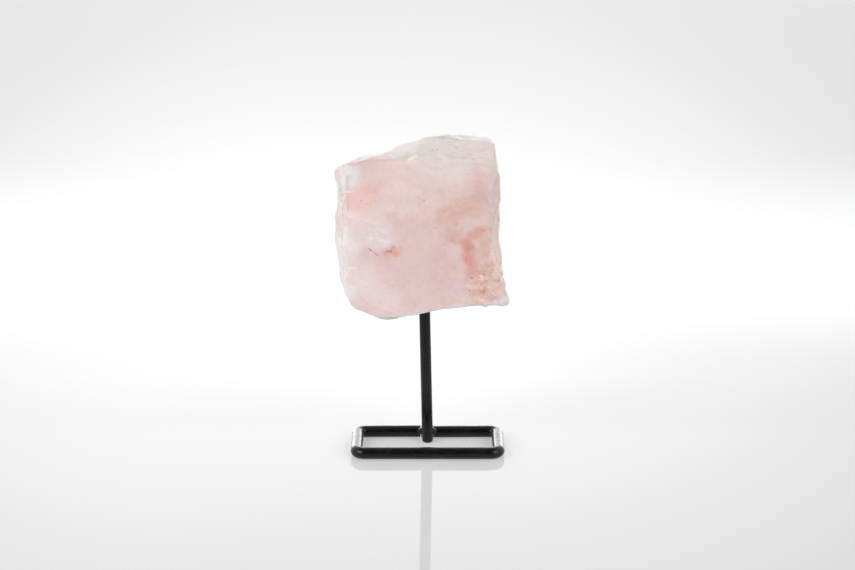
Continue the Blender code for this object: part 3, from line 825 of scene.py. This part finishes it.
def floor_material():
    """White acrylic that glows with a painted pool of light, brightest a little behind the object.
    """
    material, tree, shader = new_material("white_floor")
    place = node(tree, "ShaderNodeTexCoord").outputs["Object"]
    parts = node(tree, "ShaderNodeSeparateXYZ", {0: place})
    first, last = POOL[0][0], POOL[-1][0]
    depth = mapped(tree, parts.outputs["Y"], first, last, even=True)
    pool = node(tree, "ShaderNodeValToRGB", {"Fac": depth})
    pool.color_ramp.interpolation = "LINEAR"
    stops = pool.color_ramp.elements
    for y, value in POOL[1:-1]:
        stops.new((y - first) / (last - first))
    for stop, (y, value) in zip(stops, POOL):
        stop.color = (value, value, value, 1)
    # The pool dims towards both sides, except in a band behind the object
    left = mapped(tree, parts.outputs["X"], -0.09, -0.46, 1.0, 0.0)
    right = mapped(tree, parts.outputs["X"], 0.0, 0.42, 1.0, 0.11)
    band_start = mapped(tree, parts.outputs["Y"], 0.04, 0.28)
    band_end = mapped(tree, parts.outputs["Y"], 0.70, 0.25)
    off_band = mapped(tree, times(tree, band_start, band_end), 0, 1, 1.0, 0.0)
    dimmed = times(tree, off_band, rest_of_one(tree, times(tree, left, right)))
    glow = times(tree, rest_of_one(tree, dimmed), pool.outputs["Color"])
    shader.inputs["Base Color"].default_value = (0.33, 0.33, 0.33, 1)
    shader.inputs["Roughness"].default_value = 0.03
    shader.inputs["IOR"].default_value = 1.10
    shader.inputs["Emission Color"].default_value = (1, 1, 1, 1)
    tree.links.new(glow, shader.inputs["Emission Strength"])
    return material


def build_floor():
    bm = bmesh.new()
    bmesh.ops.create_circle(bm, cap_ends=True, segments=96, radius=FLOOR_RADIUS)
    floor = new_object("floor", bm, smooth=False)
    floor.data.materials.append(floor_material())


# Soft square lights on either side of the camera: where, how wide and how strong
LIGHTS = {
    "left_key": ((-0.95, -0.85, 0.75), 0.8, 11.0),
    "right_fill": ((0.95, -0.85, 0.70), 0.8, 9.0),
}
LIGHT_TARGET = Vector((0, -0.01, 0.07))


def area_light(name, place, size, power):
    data = bpy.data.lights.new(name, "AREA")
    data.shape = "SQUARE"
    data.size = size
    data.energy = power
    light = bpy.data.objects.new(name, data)
    light.location = place
    towards = LIGHT_TARGET - Vector(place)
    light.rotation_euler = towards.to_track_quat("-Z", "Y").to_euler()
    bpy.context.scene.collection.objects.link(light)


# How bright the tent round the object is: its walls, overhead, the low panel behind the object and
# the two wings added at that panel's sides, and the camera's side, from its middle to its ends
TENT, OVERHEAD = 1.15, 0.2
PANEL, WINGS = 3.2, 2.8
FRONT_MIDDLE, FRONT_ENDS = 0.03, 0.75


def build_world():
    """A white tent, with a bright panel low behind the object, and dark round the camera."""
    world = bpy.data.worlds.new("studio")
    bpy.context.scene.world = world
    world.use_nodes = True
    tree = world.node_tree
    direction = node(tree, "ShaderNodeTexCoord").outputs["Generated"]
    x, y, z = node(tree, "ShaderNodeSeparateXYZ", {0: direction}).outputs
    across = maths(tree, "ABSOLUTE", x, 0.0)
    behind = mapped(tree, y, -0.3, 0.25)
    tent = mapped(tree, z, 0.72, 0.97, TENT, OVERHEAD)
    front = mapped(tree, across, 0.25, 0.65, FRONT_MIDDLE, FRONT_ENDS)
    rise = mapped(tree, z, 0.12, 0.28, 0.35, 1.0)
    reach = times(tree, mapped(tree, z, 0.36, 0.46, PANEL, 0.0), rise)
    panel_end = mapped(tree, across, 0.40, 0.65, 1.0, 0.0)
    sides = times(tree, panel_end, mapped(tree, x, 0.05, 0.30, 1.0, 0.85))
    inner = mapped(tree, across, 0.178, 0.225, 0.0, WINGS)
    outer = mapped(tree, across, 0.34, 0.45, 1.0, 0.0)
    wings = times(tree, times(tree, inner, outer), mapped(tree, z, 0.24, 0.34, 1.0, 0.0))
    panel = plus(tree, times(tree, reach, sides), wings)
    rear = times(tree, plus(tree, tent, panel), behind)
    unlit = mapped(tree, y, -0.3, 0.25, 1.0, 0.0)
    strength = plus(tree, rear, times(tree, front, unlit))
    background = tree.nodes["Background"]
    background.inputs["Color"].default_value = (1, 1, 1, 1)
    tree.links.new(strength, background.inputs["Strength"])


def build_studio():
    build_camera()
    build_floor()
    build_world()
    for name, settings in LIGHTS.items():
        area_light(name, *settings)
    bpy.context.scene.view_settings.view_transform = "Standard"


def dress(piece, material, slot, *nodes):
    piece.data.materials.clear()
    piece.data.materials.append(material)
    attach(piece, "root")
    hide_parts(*nodes)


def main():
    enamel = enamel_material()
    dress(build_stone(), quartz_material(), "rose_quartz", "rose_quartz_chunk")
    dress(build_ring(), enamel, "black_enamel", "base_ring")
    dress(build_rod(), enamel, "black_enamel", "upright_rod")
    dress(build_weld(), enamel, "black_enamel", "weld_bead")
    build_studio()


main()
